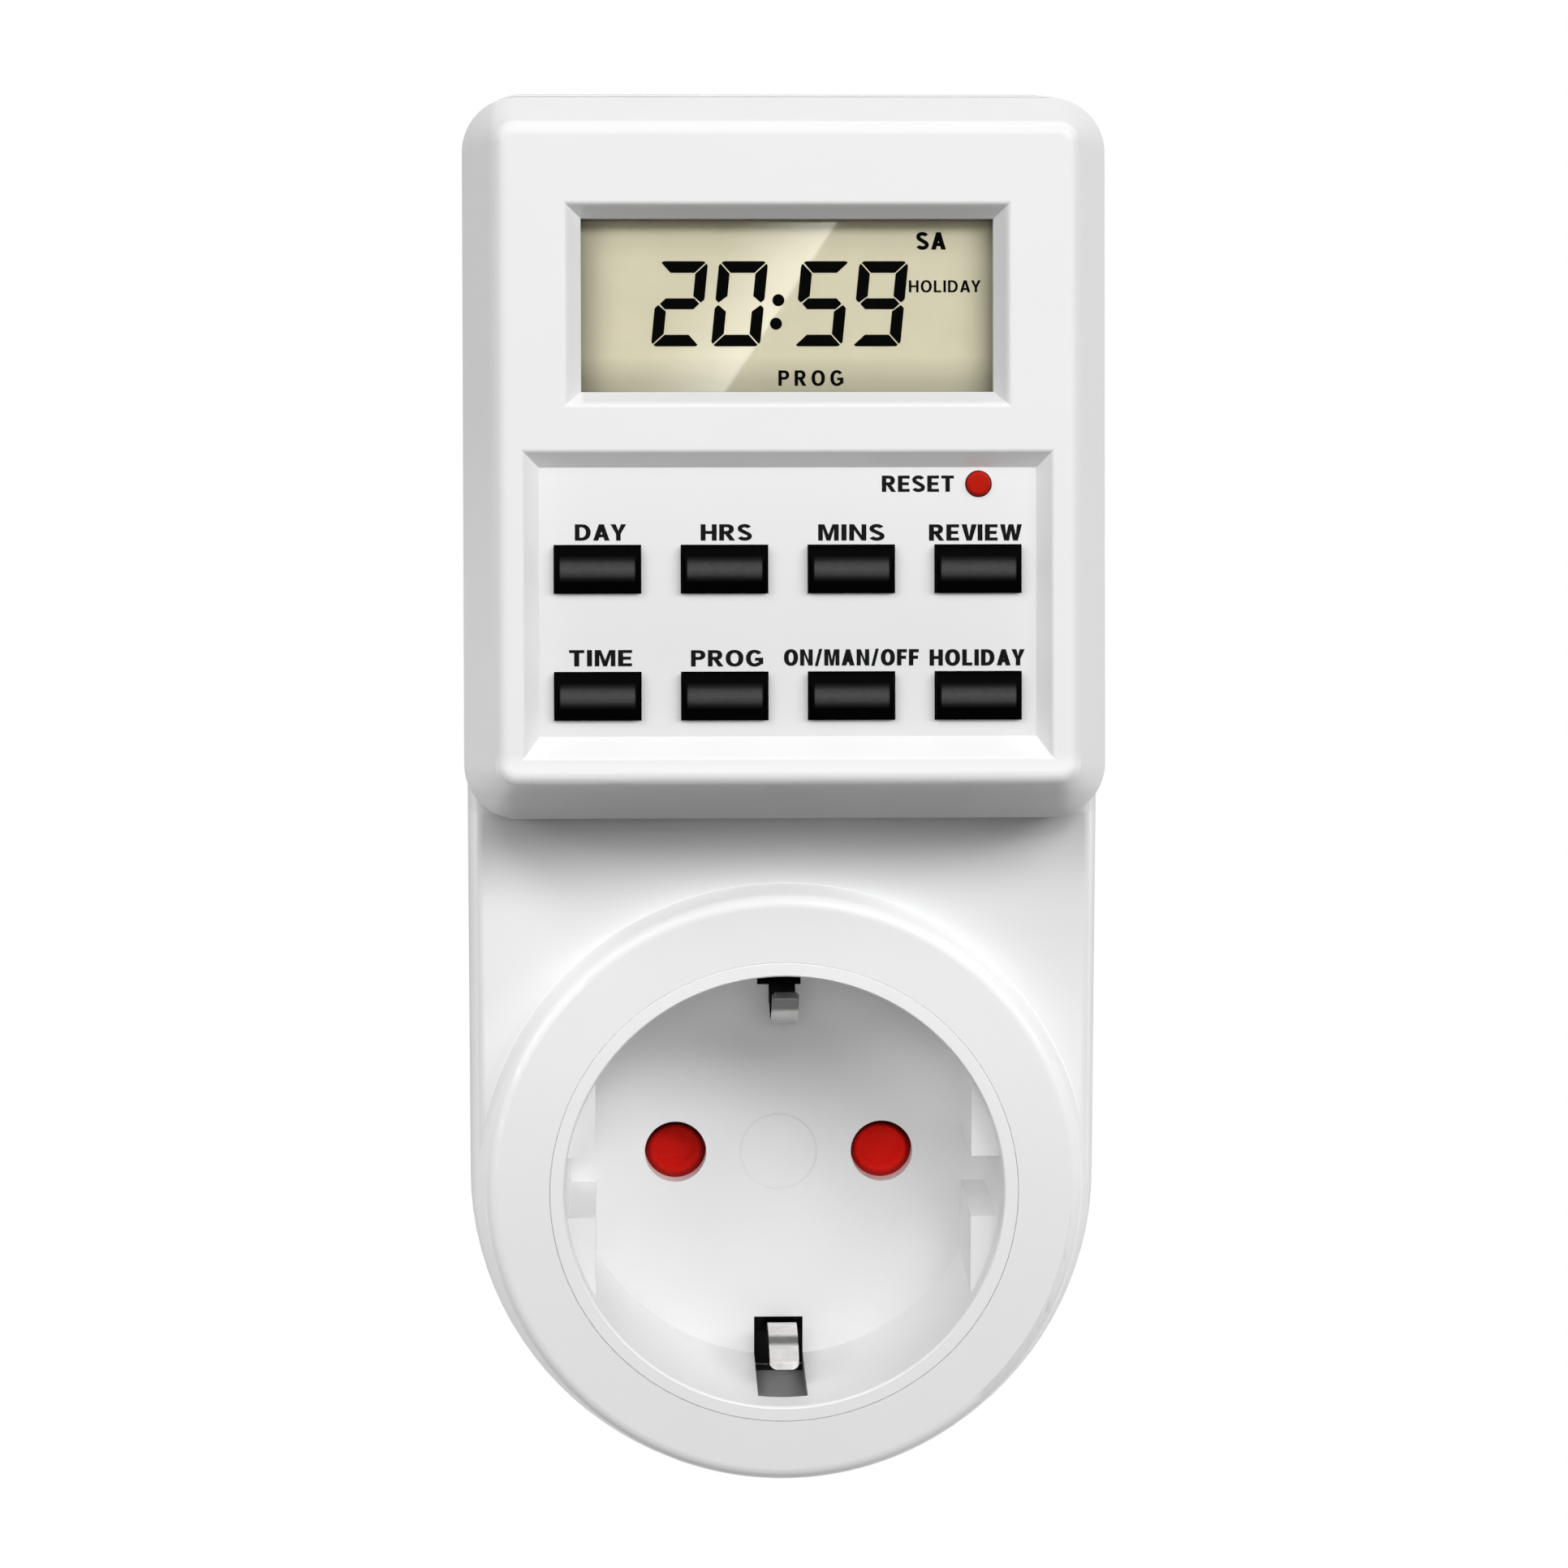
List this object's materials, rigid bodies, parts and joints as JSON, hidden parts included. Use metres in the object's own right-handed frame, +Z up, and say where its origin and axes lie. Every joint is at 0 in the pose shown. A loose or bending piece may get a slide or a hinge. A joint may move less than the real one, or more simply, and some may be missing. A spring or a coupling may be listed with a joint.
{
  "type": "plug in timer switch",
  "caption": "Digital plug-in timer: a drafted clock housing with LCD, push keys and reset over a round side-earth socket, with a matching round two-pin plug on the back.",
  "frame": {"origin": "common axis of plug and socket, on the flat rear face of the case that meets the wall socket", "axes": "+Z up towards the clock, -Y out of the front (socket face and keys), +Y along the plug pins into the wall, X across"},
  "size_m": [0.0562, 0.0739, 0.1243],
  "materials": {
    "case_white": "fine satin moulded ABS, white",
    "clear_window": "clear acrylic window",
    "lcd": "reflective olive-beige LCD",
    "grey_rubber": "silicone rubber",
    "inner_plastic": "unpainted moulding",
    "board": "FR4 board with solder mask",
    "red_plastic": "polished red moulding",
    "black_key": "satin black moulding",
    "black_plastic": "moulded package",
    "steel": "zinc plated steel",
    "nickel": "nickel plated brass",
    "plated_spring": "nickel plated spring bronze",
    "brass": "bare stamped brass",
    "cell_sleeve": "sleeved button cell",
    "relay_blue": "moulded cover",
    "capacitor_yellow": "moulded box",
    "capacitor_sleeve": "heat-shrunk sleeve",
    "resistor_body": "lacquered body",
    "varistor_blue": "epoxy dipped disc",
    "ceramic": "ceramic tube with end caps",
    "cable_grey": "PVC ribbon",
    "wire_brown": "PVC insulation",
    "wire_black": "PVC insulation",
    "wire_blue": "PVC insulation"
  },
  "bodies": {
    "case": {"backup_cell": "cell_sleeve", "board_screws": "steel", "bridge_rectifier": "black_plastic", "case_screws": "steel", "cell_tabs": "steel", "contact_carrier": "inner_plastic", "contact_live": "brass", "contact_neutral": "brass", "controller_chip": "black_plastic", "crystal": "steel", "display_board": "board", "display_screws": "steel", "dropper_resistor": "resistor_body", "earth_bridge": "brass", "earth_clip_lower": "plated_spring", "earth_clip_upper": "plated_spring", "front_shell": "case_white", "fuse": "ceramic", "key_mat": "grey_rubber", "lcd_frame": "inner_plastic", "lcd_glass": "lcd", "lcd_lens": "clear_window", "lcd_reflector": "lcd", "neutral_link": "brass", "plug_earth_lower": "plated_spring", "plug_earth_upper": "plated_spring", "plug_pin_live": "nickel", "plug_pin_neutral": "nickel", "power_board": "board", "rear_shell": "case_white", "relay": "relay_blue", "ribbon_cable": "cable_grey", "shutter_spring": "steel", "smoothing_capacitor": "capacitor_sleeve", "socket_insert": "case_white", "timer_cover": "case_white", "varistor": "varistor_blue", "wire_live_in": "wire_brown", "wire_live_out": "wire_black", "wire_neutral": "wire_blue", "x2_capacitor": "capacitor_yellow", "zebra_strip": "grey_rubber"},
    "key_clock": {"key_clock": "black_key"},
    "key_day": {"key_day": "black_key"},
    "key_hour": {"key_hour": "black_key"},
    "key_minute": {"key_minute": "black_key"},
    "key_mode": {"key_mode": "black_key"},
    "key_program": {"key_program": "black_key"},
    "key_random": {"key_random": "black_key"},
    "key_recall": {"key_recall": "black_key"},
    "reset_button": {"reset_button": "red_plastic"},
    "shutter": {"shutter": "red_plastic"}
  },
  "joints": [
    {"name": "key_clock_press", "type": "slide", "parent": "case", "child": "key_clock", "axis": [0, 0.9925, -0.1219], "range_m": [0, 0.0006], "stiffness_N_per_m": 900, "springref_m": -0.0004},
    {"name": "key_day_press", "type": "slide", "parent": "case", "child": "key_day", "axis": [0, 0.9925, -0.1219], "range_m": [0, 0.0006], "stiffness_N_per_m": 900, "springref_m": -0.0004},
    {"name": "key_hour_press", "type": "slide", "parent": "case", "child": "key_hour", "axis": [0, 0.9925, -0.1219], "range_m": [0, 0.0006], "stiffness_N_per_m": 900, "springref_m": -0.0004},
    {"name": "key_minute_press", "type": "slide", "parent": "case", "child": "key_minute", "axis": [0, 0.9925, -0.1219], "range_m": [0, 0.0006], "stiffness_N_per_m": 900, "springref_m": -0.0004},
    {"name": "key_mode_press", "type": "slide", "parent": "case", "child": "key_mode", "axis": [0, 0.9925, -0.1219], "range_m": [0, 0.0006], "stiffness_N_per_m": 900, "springref_m": -0.0004},
    {"name": "key_program_press", "type": "slide", "parent": "case", "child": "key_program", "axis": [0, 0.9925, -0.1219], "range_m": [0, 0.0006], "stiffness_N_per_m": 900, "springref_m": -0.0004},
    {"name": "key_random_press", "type": "slide", "parent": "case", "child": "key_random", "axis": [0, 0.9925, -0.1219], "range_m": [0, 0.0006], "stiffness_N_per_m": 900, "springref_m": -0.0004},
    {"name": "key_recall_press", "type": "slide", "parent": "case", "child": "key_recall", "axis": [0, 0.9925, -0.1219], "range_m": [0, 0.0006], "stiffness_N_per_m": 900, "springref_m": -0.0004},
    {"name": "reset_press", "type": "slide", "parent": "case", "child": "reset_button", "axis": [0, 0.9925, -0.1219], "range_m": [0, 0.0006], "stiffness_N_per_m": 900, "springref_m": -0.0004},
    {"name": "shutter_turn", "type": "hinge", "parent": "case", "child": "shutter", "pos_m": [0, -0.00675, 0], "axis": [0, 1, 0], "range_deg": [0, 40], "stiffness_Nm_per_rad": 0.002, "springref_deg": -20.05, "deforming": ["shutter_spring"]}
  ]
}
